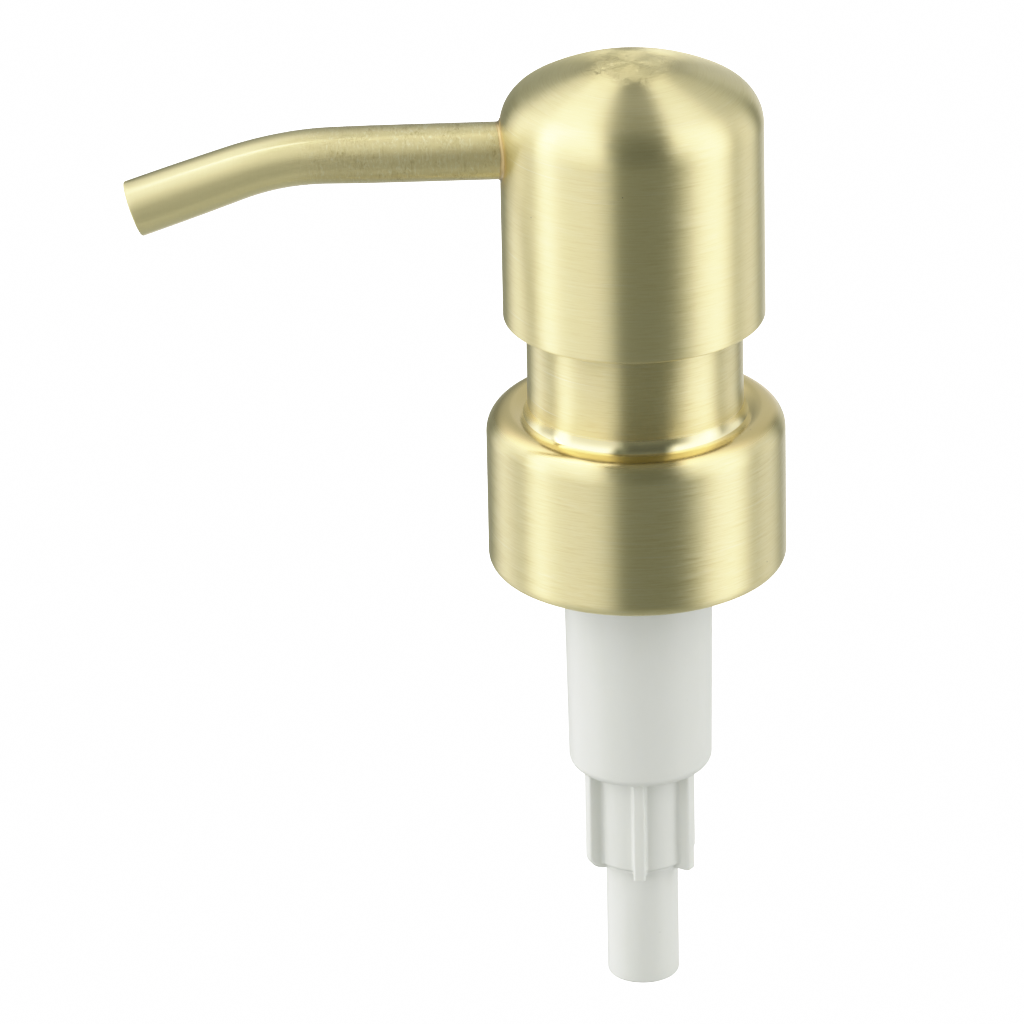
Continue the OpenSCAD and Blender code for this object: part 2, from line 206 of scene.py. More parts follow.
FILL_POWER = 0.50
FLOOR_DROP = 60 * MM        # from the object's lowest point
FLOOR_HALF = 30.0
FLOOR_GLOW = 1.6
TONE_WHITE = 1.6            # brightness that the view shows as white
TONE_CURVE = [(0.2, 0.2), (0.6, 0.6), (0.85, 0.82), (1.1, 0.95)]    # brightness, and what is shown


def light_around(g, bearing, back, up):
    """The panels' light, raised in front of the object and faded behind it."""
    share = g.math("ADD", g.math("DIVIDE", bearing, TURN), 0.5)
    panels = g.ramp(share, [((at + 180) / 360, level) for at, level in PANELS])
    front = g.spread(back, 0.45, 0.80, 1.0, 0.0, smooth=True)
    high = g.math("MULTIPLY", g.spread(up, -0.30, 0.15), front)
    high_back = g.math("MULTIPLY", g.spread(up, -0.25, 0.10), g.math("SUBTRACT", 1.0, front))
    lift = g.spread(high, 0.0, 1.0, 1.0, PANEL_LIFT)
    fade = g.spread(high_back, 0.0, 1.0, 1.0, PANEL_FADE)
    return g.scaled(panels, g.math("MULTIPLY", lift, fade))


def light_above(g, right, back):
    """The light overhead, with a dark slot towards the camera and a narrow lamp to the spout's side."""
    skewed = g.math("ADD", back, g.math("MULTIPLY", right, OVERHEAD_SKEW))
    light = g.spread(skewed, 0.08, 0.86, OVERHEAD_FRONT, OVERHEAD_BACK, smooth=True)
    # The slot's sides, from its near end to overhead.
    half_right = g.spread(back, -0.90, 0.40, 0.62, 0.19)
    half_left = g.spread(back, -0.90, 0.40, -0.40, -0.25)
    across = g.math("MAXIMUM", g.math("DIVIDE", right, half_right),
                    g.math("DIVIDE", right, half_left))
    slot = g.math("MULTIPLY", g.spread(across, 0.7, 1.2, 1.0, 0.0, smooth=True),
                  g.spread(back, 0.20, 0.70, 1.0, 0.0, smooth=True))
    light = g.mix(slot, light, colour(GAP, GAP, GAP))
    strip = g.math("MULTIPLY", g.spread(g.math("ABSOLUTE", back), 0.02, 0.05, 1.0, 0.0),
                   g.spread(right, -0.20, -0.10, 1.0, 0.0))
    return g.mix(strip, light, colour(STRIP, STRIP, STRIP))


def gap_core(g, bearing, up):
    """1 in the core of the gap between the panels, 0 away from it."""
    aside = g.math("ABSOLUTE", g.math("SUBTRACT", bearing, math.radians(GAP_CENTRE)))
    across = g.spread(aside, math.radians(GAP_CORE[0]), math.radians(GAP_CORE[1]), 1.0, 0.0, smooth=True)
    height = g.math("MULTIPLY", g.spread(up, -0.14, 0.04),
                    g.spread(up, 0.55, 0.85, 1.0, 0.0, smooth=True))
    return g.math("MULTIPLY", across, height)


def make_studio():
    world = bpy.data.worlds.new("studio")
    bpy.context.scene.world = world
    world.use_nodes = True
    g = Graph(world.node_tree)
    way = g.node("ShaderNodeTexCoord").outputs["Generated"]
    facing = {"Vector": way, "Angle": math.radians(-90 - CAMERA_AZIMUTH)}
    turned = g.node("ShaderNodeVectorRotate", facing, rotation_type="Z_AXIS").outputs[0]
    right, back, up = g.node("ShaderNodeSeparateXYZ", {0: turned}).outputs
    bearing = g.math("ARCTAN2", right, g.math("MULTIPLY", back, -1.0))
    above = g.spread(up, 0.05, 0.60, 0.0, 1.0, smooth=True)
    below = g.spread(up, -0.90, -0.60, 1.0, 0.0, smooth=True)
    sky = g.mix(above, light_around(g, bearing, back, up), light_above(g, right, back))
    sky = g.mix(below, sky, colour(BELOW, BELOW, BELOW))
    sky = g.scaled(sky, g.spread(gap_core(g, bearing, up), 0.0, 1.0, 1.0, GAP_CORE_SHARE))
    level = g.node("ShaderNodeSeparateXYZ", {0: sky}).outputs[0]
    tint = g.mix(g.spread(level, 0.2, 0.7), colour(*DARK_TINT), colour(1, 1, 1))
    seen = g.node("ShaderNodeLightPath").outputs["Is Camera Ray"]
    sky = g.mix(seen, g.vector("MULTIPLY", sky, tint), colour(BACKDROP, BACKDROP, BACKDROP))
    out = g.node("ShaderNodeBackground", {"Color": sky, "Strength": 1.0})
    g.node("ShaderNodeOutputWorld", {"Surface": out.outputs[0]})


def make_fill():
    """Two wide soft lights in front, to either side, that show only on the matt plastics."""
    for name, aside in (("fill_left", -FILL_ASIDE), ("fill_right", FILL_ASIDE)):
        data = bpy.data.lights.new(name, "SUN")
        data.energy = FILL_POWER
        data.angle = math.radians(FILL_SPREAD)
        light = bpy.data.objects.new(name, data)
        bearing, height = math.radians(CAMERA_AZIMUTH + aside), math.radians(FILL_HEIGHT)
        level = math.cos(height)
        toward = Vector((level * math.cos(bearing), level * math.sin(bearing), math.sin(height)))
        light.matrix_world = toward.to_track_quat("Z", "Y").to_matrix().to_4x4()
        light.visible_glossy = False
        bpy.context.scene.collection.objects.link(light)


def make_floor():
    """A pale floor that is clear from below, so that the object's underside can be seen."""
    low, half = CAD_BOX[0][2] - FLOOR_DROP, FLOOR_HALF
    mesh = bpy.data.meshes.new("floor")
    mesh.from_pydata([(-half, -half, low), (half, -half, low), (half, half, low), (-half, half, low)],
                     [], [(0, 1, 2, 3)])
    floor = bpy.data.objects.new("floor", mesh)
    material, g = new_material("pale_floor")
    shader = g.node("ShaderNodeBsdfPrincipled", {
        "Base Color": colour(0.9, 0.9, 0.9), "Roughness": 0.9,
        "Emission Color": colour(1, 1, 1), "Emission Strength": FLOOR_GLOW})
    under = g.node("ShaderNodeNewGeometry").outputs["Backfacing"]
    clear = g.node("ShaderNodeBsdfTransparent").outputs[0]
    both = g.node("ShaderNodeMixShader", {0: under, 1: shader.outputs[0], 2: clear})
    g.node("ShaderNodeOutputMaterial", {"Surface": both.outputs[0]})
    mesh.materials.append(material)
    bpy.context.scene.collection.objects.link(floor)
    floor.visible_glossy = False
    floor.visible_diffuse = False


def make_tone():
    """A plain view transform with a soft shoulder, so that highlights whiten as in a photograph."""
    view = bpy.context.scene.view_settings
    view.view_transform = "Standard"
    view.use_curve_mapping = True
    mapping = view.curve_mapping
    mapping.white_level = (TONE_WHITE, TONE_WHITE, TONE_WHITE)
    curve = mapping.curves[3]
    for x, y in TONE_CURVE:
        curve.points.new(x / TONE_WHITE, y)
    mapping.update()


# ---------------------------------------------------------------- outlines and meshes

SMOOTH_ANGLE = 35           # degrees; an edge that turns more is shaded sharp


def line(a, b, step=0.5 * MM):
    """Points from a up to, but not including, b."""
    count = max(1, round(math.dist(a, b) / step))
    return [(a[0] + (b[0] - a[0]) * i / count, a[1] + (b[1] - a[1]) * i / count) for i in range(count)]


def arc(centre, r, start, end, step=3.0):
    """Points along an arc, in degrees, both ends included."""
    count = max(2, math.ceil(abs(end - start) / step))
    angles = [math.radians(start + (end - start) * i / count) for i in range(count + 1)]
    return [(centre[0] + r * math.cos(a), centre[1] + r * math.sin(a)) for a in angles]


def path(*parts):
    """Joins points and arcs with finely divided straight lines, into one closed outline."""
    points = [p for part in parts for p in (part if isinstance(part, list) else [part])]
    out = []
    for a, b in zip(points, points[1:] + points[:1]):
        if math.dist(a, b) > 1e-7:
            out += line(a, b)
    return out


def new_piece(name, vertices, faces, body, node, material, smooth_angle=SMOOTH_ANGLE):
    mesh = bpy.data.meshes.new(name)
    mesh.from_pydata(vertices, [], faces)
    mesh.validate()
    work = bmesh.new()
    work.from_mesh(mesh)
    bmesh.ops.recalc_face_normals(work, faces=work.faces)
    work.to_mesh(mesh)
    work.free()
    mesh.shade_smooth()
    mesh.set_sharp_from_angle(angle=math.radians(smooth_angle))
    mesh.materials.append(material)
    piece = bpy.data.objects.new(name, mesh)
    bpy.context.scene.collection.objects.link(piece)
    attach(piece, body)
    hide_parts(node)
    return piece


def rings_to_mesh(rings, closed=True):
    """Faces between rings of points. A ring of one point is a pole."""
    vertices, faces, starts = [], [], []
    for ring in rings:
        starts.append(len(vertices))
        vertices += ring
    pairs = list(zip(range(len(rings)), range(1, len(rings))))
    if closed:
        pairs.append((len(rings) - 1, 0))
    for a, b in pairs:
        na, nb = len(rings[a]), len(rings[b])
        if na == 1 and nb == 1:
            continue
        n = max(na, nb)
        for j in range(n):
            k = (j + 1) % n
            corners = [starts[a] + (j if na > 1 else 0), starts[a] + (k if na > 1 else 0),
                       starts[b] + (k if nb > 1 else 0), starts[b] + (j if nb > 1 else 0)]
            faces.append(list(dict.fromkeys(corners)))
    return vertices, faces


def circle(r, segments):
    """Points round the origin."""
    turns = [TURN * j / segments for j in range(segments)]
    return [(r * math.cos(a), r * math.sin(a)) for a in turns]


def lathe(outline, segments=256):
    """A closed solid turned round the Z axis from an anticlockwise outline of radius and height."""
    rings = [[(0, 0, z)] if r < 1e-6 else [(x, y, z) for x, y in circle(r, segments)] for r, z in outline]
    vertices, faces = rings_to_mesh(rings)
    return vertices, [f[::-1] for f in faces]


def cut_round(piece, start, end, r, segments=96):
    """Cuts a round hole through a piece, from one point to another."""
    start, end = Vector(start), Vector(end)
    turn = (end - start).to_track_quat("Z", "Y").to_matrix()
    ends = [[tuple(at + turn @ Vector((x, y, 0))) for x, y in circle(r, segments)] for at in (start, end)]
    vertices, faces = rings_to_mesh(ends, closed=False)
    faces += [list(range(segments))[::-1], list(range(segments, 2 * segments))]
    mesh = bpy.data.meshes.new("cutter")
    mesh.from_pydata(vertices, [], faces)
    cutter = bpy.data.objects.new("cutter", mesh)
    bpy.context.scene.collection.objects.link(cutter)
    change = piece.modifiers.new("hole", "BOOLEAN")
    change.operation = "DIFFERENCE"
    change.solver = "EXACT"
    change.object = cutter
    bpy.context.view_layer.update()
    made = bpy.data.meshes.new_from_object(piece.evaluated_get(bpy.context.evaluated_depsgraph_get()))
    piece.modifiers.remove(change)
    piece.data = made
    made.set_sharp_from_angle(angle=math.radians(SMOOTH_ANGLE))
    bpy.data.objects.remove(cutter)


# ---------------------------------------------------------------- materials

def turned_coordinates(g):
    """Object coordinates, the radius from the axis, and a length that runs down the outline."""
    place = g.node("ShaderNodeTexCoord").outputs["Object"]
    parts = g.node("ShaderNodeSeparateXYZ", {0: place}).outputs
    flat = g.node("ShaderNodeCombineXYZ", {0: parts[0], 1: parts[1]}).outputs[0]
    radius = g.vector("LENGTH", flat)
    down = g.math("SUBTRACT", parts[2], radius)
    return place, parts, radius, down


def brush_lines(g, parts, down, along, across, detail=3.0, rough=0.6):
    """Noise that is drawn out round the axis: fine across the brushing, long along it."""
    where = g.node("ShaderNodeCombineXYZ", {0: g.math("MULTIPLY", parts[0], along),
                                            1: g.math("MULTIPLY", parts[1], along),
                                            2: g.math("MULTIPLY", down, across)}).outputs[0]
    return g.noise(where, 1.0, detail, rough)


GOLD = (0.91, 0.82, 0.45)
GOLD_DEEP = (0.80, 0.69, 0.33)
GOLD_PALE = (0.98, 0.91, 0.60)
GOLD_CLOUD = (0.88, 0.82, 0.52)
GOLD_SCRATCH = (1.0, 0.96, 0.75)
# paler gold for the polished cove at the neck's foot: a painted highlight that whitens its reflections
GOLD_COVE_PAINTED_HIGHLIGHT = (0.99, 0.94, 0.66)
# deeper gold for the shoulder's polished dish: a painted reflection of the neck's gold in it
GOLD_DISH_PAINTED_REFLECTION = (0.96, 0.78, 0.36)
GOLD_WORN = (0.66, 0.57, 0.25)
GOLD_GLINT = (1.0, 0.95, 0.64)
HEAT_TINT = (0.93, 0.74, 0.33)
PIT_TINT = (0.30, 0.26, 0.16)
BRAZE = (0.66, 0.49, 0.21)
BRAZE_WORN = (0.50, 0.36, 0.15)
STREAK_SWING = 0.10         # how far the surface turns from one brush mark to the next
POLISH_ROUGHNESS = 0.15
POLE_R = (1.0 * MM, 9 * MM)     # over which the brushing of the dome gets as sharp as on the sides
POLE_ROUGHNESS = 0.30       # what the middle of the dome has more than that
WHIRL = 1.9                 # how far the brush marks stray at the middle of the dome
WHIRL_R = (0.5 * MM, 6.5 * MM)
RELIEF = 0.03 * MM          # depth of the brush marks


def streak_normal(g, streak, bump):
    """Turns the surface a little to and fro about the axis from one brush mark to the next."""
    tangent = g.node("ShaderNodeTangent", direction_type="RADIAL", axis="Z").outputs[0]
    swing = g.math("MULTIPLY", g.math("SUBTRACT", streak, 0.5), STREAK_SWING)
    return tangent, g.vector("NORMALIZE", g.vector("ADD", bump, g.scaled(tangent, swing)))


def whirled(g, place, radius, tangent):
    """Lets the brush marks run every way at the middle of the dome."""
    surface = g.node("ShaderNodeNewGeometry").outputs["Normal"]
    aside = g.vector("CROSS_PRODUCT", surface, tangent)
    near = g.spread(radius, WHIRL_R[0], WHIRL_R[1], WHIRL, 0.0, smooth=True)
    turn = g.math("MULTIPLY", g.spread(g.noise(place, 7000, 1, 0.5), 0.36, 0.64, -1.0, 1.0), near)
    return g.vector("NORMALIZE", g.vector("ADD", tangent, g.scaled(aside, turn)))


def brushed_gold(name, contrast=0.6, painted_shade_by=1.0, polish=None, heat=None):
    """Gold-plated metal, brushed round the Z axis.

    polish(g, parts, radius) gives the shares of two smooth bands, whose colour is also painted: the cove
    paler as a painted highlight, the dish deeper gold as a painted reflection; heat(g, parts) gives that of a
    tint.
    """
    material, g = new_material(name)
    place, parts, radius, down = turned_coordinates(g)
    fine = brush_lines(g, parts, down, 340, 8200, 3, 0.75)
    broad = brush_lines(g, parts, down, 130, 3900, 4, 0.75)
    long_line = brush_lines(g, parts, down, 50, 5200, 2, 0.5)
    cloud = g.noise(place, 180, 3, 0.55)
    scratch = g.spread(long_line, 0.70, 0.76)
    brushed = 1.0
    if polish is not None:
        cove, dish_polish_and_painted_reflection = polish(g, parts, radius)
        brushed = g.math("SUBTRACT", 1.0, g.math("ADD", cove, dish_polish_and_painted_reflection), clamp=True)
    streak = g.math("ADD", g.math("MULTIPLY", fine, 0.55), g.math("MULTIPLY", broad, 0.45))
    dark = g.math("MULTIPLY", g.spread(streak, 0.50, 0.36), brushed)
    pale = g.math("MULTIPLY", g.spread(streak, 0.52, 0.66), brushed)
    scored = g.math("MULTIPLY", scratch, brushed)
    shade = g.mix(g.math("MULTIPLY", dark, contrast), colour(*GOLD), colour(*GOLD_DEEP))
    shade = g.mix(g.math("MULTIPLY", pale, contrast), shade, colour(*GOLD_PALE))
    shade = g.mix(g.math("MULTIPLY", g.spread(cloud, 0.45, 0.75), 0.2), shade, colour(*GOLD_CLOUD))
    if polish is not None:
        # The polished cove is paled: a painted highlight that whitens its highlights.
        shade = g.mix(g.math("MULTIPLY", cove, 0.3), shade, colour(*GOLD_COVE_PAINTED_HIGHLIGHT))
        # The polished dish is tinted deeper gold: a painted reflection of the neck.
        shade = g.mix(g.math("MULTIPLY", dish_polish_and_painted_reflection, 0.95), shade, colour(*GOLD_DISH_PAINTED_REFLECTION))
    shade = g.mix(g.math("MULTIPLY", scored, contrast), shade, colour(*GOLD_SCRATCH))
    if heat is not None:
        shade = g.mix(g.math("MULTIPLY", heat(g, parts), 0.5), shade, colour(*HEAT_TINT))
    pit = g.node("ShaderNodeTexVoronoi", {"Vector": place, "Scale": 260.0}).outputs["Distance"]
    shade = g.mix(g.spread(pit, 0.018, 0.026, 0.75, 0.0), shade, colour(*PIT_TINT))
    pole = g.spread(radius, POLE_R[0], POLE_R[1], POLE_ROUGHNESS, 0.0, smooth=True)
    grooved = g.math("ADD", g.spread(broad, 0.3, 0.7, 0.35, 0.41), g.math("MULTIPLY", scratch, 0.04))
    rough = g.math("ADD", grooved, pole)
    relief = g.math("SUBTRACT", streak, g.math("MULTIPLY", scratch, 0.3))
    if polish is not None:
        smooth = g.math("MULTIPLY", g.math("SUBTRACT", 1.0, brushed), POLISH_ROUGHNESS)
        rough = g.math("ADD", g.math("MULTIPLY", rough, brushed), smooth)
        relief = g.math("MULTIPLY", relief, brushed)
    level_streak = g.mix(brushed, colour(0.5, 0.5, 0.5), streak)
    tangent, normal = streak_normal(g, level_streak, g.bump(relief, 0.25, RELIEF))
    # A part's whole gold can be scaled darker here: painted shade.
    principled(g, {
        "Base Color": g.scaled(shade, painted_shade_by), "Metallic": 1.0, "Roughness": rough,
        "Anisotropic": 0.97, "Anisotropic Rotation": 0.25, "Coat Weight": 0.45, "Coat Roughness": 0.25,
        "Coat IOR": 1.5, "Normal": normal, "Tangent": whirled(g, place, radius, tangent)})
    return material


def satin_gold(name, brushed_to, gold=GOLD, worn_gold=GOLD_WORN):
    """Gold-plated tube, brushed across: coarsely out to a reach from the axis, finely past it."""
    material, g = new_material(name)
    place = g.node("ShaderNodeTexCoord").outputs["Object"]
    parts = g.node("ShaderNodeSeparateXYZ", {0: place}).outputs
    rooted = g.spread(parts[0], -brushed_to - 4 * MM, -brushed_to + 2 * MM, 0.0, 1.0, smooth=True)
    hair = g.noise(g.vector("MULTIPLY", place, (8000, 700, 700)), 1.0, 4, 0.7)
    mottle = g.noise(g.vector("MULTIPLY", place, (2600, 1300, 900)), 1.0, 5, 0.75, 1.2)
    patch = g.spread(g.noise(place, 340, 3, 0.6), 0.42, 0.62)
    worn = g.math("MULTIPLY", g.spread(mottle, 0.50, 0.66), g.math("MULTIPLY", rooted, patch))
    glint = g.math("MULTIPLY", g.spread(mottle, 0.47, 0.36), rooted)
    haired = g.math("MULTIPLY", g.spread(hair, 0.42, 0.62), g.spread(rooted, 0, 1, 0.15, 0.25))
    shade = g.mix(haired, colour(*gold), colour(*GOLD_DEEP))
    shade = g.mix(g.math("MULTIPLY", worn, 0.8), shade, colour(*worn_gold))
    shade = g.mix(g.math("MULTIPLY", glint, 0.85), shade, colour(*GOLD_GLINT))
    rough = g.math("ADD", g.spread(rooted, 0.0, 1.0, 0.35, 0.48), g.math("MULTIPLY", worn, 0.06))
    relief = g.math("MULTIPLY", g.math("ADD", g.math("MULTIPLY", hair, 0.4), mottle),
                    g.spread(rooted, 0, 1, 0.03, 1))
    tangent = g.node("ShaderNodeTangent", direction_type="RADIAL", axis="X").outputs[0]
    principled(g, {
        "Base Color": shade, "Metallic": 1.0, "Roughness": rough, "Anisotropic": 1.0,
        "Anisotropic Rotation": 0.25, "Normal": g.bump(relief, 0.30, RELIEF), "Tangent": tangent,
        "Coat Weight": 0.7, "Coat Roughness": 0.06, "Coat IOR": 1.6})
    return material


def dimmed(tint, r, g, b):
    return colour(tint[0] * r, tint[1] * g, tint[2] * b)


def moulded_plastic(name, tint, rough=0.42, grain=0.12, scatter=0.25):
    """Satin moulded plastic with faint flow clouding and a fine moulded grain."""
    material, g = new_material(name)
    place = g.node("ShaderNodeTexCoord").outputs["Object"]
    cloud = g.noise(g.vector("MULTIPLY", place, (1, 1, 0.45)), 160, 4, 0.6, 0.4)
    grit = g.noise(place, 5200, 2, 0.6)
    speck = g.spread(g.noise(place, 1500, 1, 0.5), 0.80, 0.84)
    clouded = g.math("MULTIPLY", g.spread(cloud, 0.35, 0.7), 0.5)
    shade = g.mix(clouded, colour(*tint), dimmed(tint, 0.955, 0.96, 0.945))
    shade = g.mix(g.math("MULTIPLY", speck, 0.25), shade, dimmed(tint, 0.6, 0.6, 0.56))
    principled(g, {
        "Base Color": shade, "Roughness": g.spread(cloud, 0.3, 0.75, rough - 0.05, rough + 0.07),
        "Normal": g.bump(grit, grain, 0.02 * MM), "IOR": 1.49, "Subsurface Weight": scatter,
        "Subsurface Radius": (1.0, 0.95, 0.85), "Subsurface Scale": 1.2 * MM})
    return material


STEEL = (0.66, 0.66, 0.67)


def steel(name, rough):
    """Bright stainless steel with a faint grain."""
    material, g = new_material(name)
    place = g.node("ShaderNodeTexCoord").outputs["Object"]
    grain = g.noise(place, 2500, 3, 0.6)
    shade = g.mix(g.spread(grain, 0.35, 0.7), colour(*STEEL), dimmed(STEEL, 0.86, 0.86, 0.87))
    principled(g, {
        "Base Color": shade, "Metallic": 1.0,
        "Roughness": g.spread(grain, 0.3, 0.7, rough * 0.8, rough * 1.3),
        "Normal": g.bump(grain, 0.1, 0.01 * MM)})
    return material


# ---------------------------------------------------------------- pieces

HEAD_WALL = 0.6 * MM
DOME_R = 24.7 * MM
DOME_EDGE_R = 4.65 * MM
HEAT_REACH = (0.5 * MM, 1.9 * MM)   # past the spout, over which the tint of its brazing fades
SPOUT_BEND_R = 32 * MM
SPOUT_BEND = 19             # degrees
SPOUT_BEND_STEPS = 24
SPOUT_TIP = 11.8 * MM       # length of the straight tip
SPOUT_WALL = 0.5 * MM
SPOUT_LIP = 0.22 * MM
SPOUT_FLAT = 0.065          # the bend's flattening
SPOUT_FLAT_AT = 39.5 * MM   # from the axis
SPOUT_FLAT_REACH = 7 * MM
SPOUT_BRUSHED = 0.62        # share of the spout's reach that is brushed coarsely
LINER_WALL = 0.6 * MM
LINER_LIP = 0.08 * MM
LINER_SHORT = 0.4 * MM      # how far the liner's end is inside the spout's
BRAZE_LEG = 0.34 * MM
BRAZE_SINK = 0.08 * MM      # how far the bead is sunk into the tube and the head
COLLAR_WALL = 0.5 * MM
COLLAR_TOP = 7.8 * MM
COLLAR_RIM_R = 1.5 * MM
COLLAR_SMOOTH = 20
SHOULDER_R = 2.6 * MM
DISH = 20                   # degrees that the shoulder falls towards the neck
DISH_FADE = (1.3 * MM, 2.2 * MM)    # past the shoulder's middle, over which its polish and its painted reflection end
NECK_R = 11.9 * MM
NECK_EDGE = 0.15 * MM
COVE_REACH = 0.5 * MM       # the polished cove where the neck meets the shoulder
COVE_HEIGHT = 1.4 * MM
COVE_LEAN = 0.4             # share of its reach that comes from the straight flare
COVE_STEPS = 16

head_low, head_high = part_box("head_shell")
spout_low, spout_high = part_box("spout_tube")
collar_low, collar_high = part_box("collar_shell")
housing_low, housing_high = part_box("housing")
spring_low, spring_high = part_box("spring")

HEAD_R = head_high.x
SPOUT_R = spout_high.y
SPOUT_Z = spout_high.z - SPOUT_R
COLLAR_R = collar_high.x


def spout_heat(g, parts):
    """1 on the head right beside the spout, 0 away from it."""
    height = g.math("SUBTRACT", parts[2], SPOUT_Z)
    off = g.node("ShaderNodeCombineXYZ", {0: 0.0, 1: parts[1], 2: height}).outputs[0]
    near = g.spread(g.vector("LENGTH", off), SPOUT_R + HEAT_REACH[0], SPOUT_R + HEAT_REACH[1],
                    1.0, 0.0, smooth=True)
    return g.math("MULTIPLY", near, g.spread(parts[0], -HEAD_R * 0.8, -HEAD_R * 0.7, 1.0, 0.0))


def make_head():
    crown = (0, head_high.z - DOME_R)
    edge_x = HEAD_R - DOME_EDGE_R
    edge_z = crown[1] + math.sqrt((DOME_R - DOME_EDGE_R) ** 2 - edge_x ** 2)
    turn = math.degrees(math.atan2(edge_z - crown[1], edge_x))
    rim = (HEAD_R - HEAD_WALL / 2, head_low.z + HEAD_WALL / 2)
    outline = path(
        arc(rim, HEAD_WALL / 2, -180, 0, 15),
        arc((edge_x, edge_z), DOME_EDGE_R, 0, turn, 2),
        arc(crown, DOME_R, turn, 90, 1),
        arc(crown, DOME_R - HEAD_WALL, 90, turn, 4),
        arc((edge_x, edge_z), DOME_EDGE_R - HEAD_WALL, turn, 0, 8))
    vertices, faces = lathe(outline)
    piece = new_piece("head", vertices, faces, "head", "head_shell",
                      brushed_gold("brushed_gold", heat=spout_heat))
    cut_round(piece, (-HEAD_R * 0.7, 0, SPOUT_Z), (-HEAD_R * 1.2, 0, SPOUT_Z), SPOUT_R + 0.02 * MM)


def spout_frames(start, tip, step=1.0 * MM):
    """Points along the spout's centre line, each with the direction that is up across the tube."""
    reach = abs(spout_low.x)
    turn = math.radians(SPOUT_BEND)
    run = reach - (SPOUT_R + SPOUT_BEND_R) * math.sin(turn) - SPOUT_TIP * math.cos(turn)
    centre = Vector((-run, 0, SPOUT_Z - SPOUT_BEND_R))
    count = max(1, round((run - start) / step))
    frames = [(Vector((-start - (run - start) * i / count, 0, SPOUT_Z)), Vector((0, 0, 1)))
              for i in range(count)]
    for i in range(SPOUT_BEND_STEPS + 1):
        a = turn * i / SPOUT_BEND_STEPS
        up = Vector((-math.sin(a), 0, math.cos(a)))
        frames.append((centre + up * SPOUT_BEND_R, up))
    count = max(1, round(tip / step))
    along = Vector((-math.cos(turn), 0, -math.sin(turn)))
    last, up = frames[-1]
    return frames + [(last + along * tip * i / count, up) for i in range(1, count + 1)]


def flattened(place):
    """The share of the tube's height that is left where it was bent."""
    along = abs(place.x) - SPOUT_FLAT_AT
    return 1 - SPOUT_FLAT * math.exp(-(along / SPOUT_FLAT_REACH) ** 2)


def tube(frames, outer, wall, lip, segments=96, lip_steps=8):
    """A tube along frames, with its two ends rounded by lip."""
    inner = outer - wall
    across = Vector((0, 1, 0))

    def ring(place, up, r):
        tall = flattened(place)
        return [tuple(place + up * tall * x + across * y) for x, y in circle(r, segments)]

    def lip_rings(place, up, out, turn_from, turn_to):
        made = []
        for i in range(lip_steps + 1):
            a = math.radians(turn_from + (turn_to - turn_from) * i / lip_steps)
            edge = outer - lip if math.cos(a) >= 0 else inner + lip
            made.append(ring(place + out * lip * (math.sin(a) - 1), up, edge + lip * math.cos(a)))
        return made

    (first, first_up), (last, last_up) = frames[0], frames[-1]
    ahead = (last - frames[-2][0]).normalized()
    behind = (first - frames[1][0]).normalized()
    body = frames[1:-1]
    rings = [ring(p, up, outer) for p, up in body]
    rings += lip_rings(last, last_up, ahead, 0, 90) + lip_rings(last, last_up, ahead, 90.01, 180)
    rings += [ring(p, up, inner) for p, up in body[::-1]]
    rings += lip_rings(first, first_up, behind, 180, 90.01) + lip_rings(first, first_up, behind, 90, 0)
    return rings_to_mesh(rings)


def make_spout():
    vertices, faces = tube(spout_frames(abs(spout_high.x), SPOUT_TIP), SPOUT_R, SPOUT_WALL, SPOUT_LIP)
    new_piece("spout", vertices, faces, "head", "spout_tube",
              satin_gold("satin_gold", abs(spout_low.x) * SPOUT_BRUSHED))
    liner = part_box("spout_liner")[1]
    frames = spout_frames(abs(liner.x), SPOUT_TIP - LINER_SHORT)
    vertices, faces = tube(frames, liner.y, LINER_WALL, LINER_LIP)
    new_piece("liner", vertices, faces, "head", "spout_liner",
              moulded_plastic("natural_plastic", (0.78, 0.79, 0.76), 0.3))


def make_braze():
    """A thin uneven fillet that follows the saddle where the tube meets the head."""
    segments, sides = 128, 10
    away = Vector((-1, 0, 0))

    def on_head(a, r):
        y = r * math.sin(a)
        return Vector((-math.sqrt(HEAD_R ** 2 - y ** 2), y, SPOUT_Z + r * math.cos(a)))

    rings = []
    for i in range(segments):
        a = TURN * i / segments
        leg = BRAZE_LEG * (1 + 0.10 * math.sin(3 * a + 0.7) + 0.07 * math.sin(7 * a + 2.1))
        inward = -BRAZE_SINK * Vector((0, math.sin(a), math.cos(a)))
        back = -BRAZE_SINK * away
        root = on_head(a, SPOUT_R)
        ring = [root + away * leg + inward, root + back + inward, on_head(a, SPOUT_R + leg) + back]
        for j in range(sides + 1):
            t = math.radians(90 * (1 - j / sides))
            reach = SPOUT_R + leg * (1 - math.cos(t))
            ring.append(on_head(a, reach) + away * leg * (1 - math.sin(t)))
        rings.append([tuple(p) for p in ring])
    vertices, faces = rings_to_mesh(rings)
    new_piece("braze", vertices, faces, "head", "spout_braze",
              satin_gold("braze_gold", 0.0, BRAZE, BRAZE_WORN), 60)


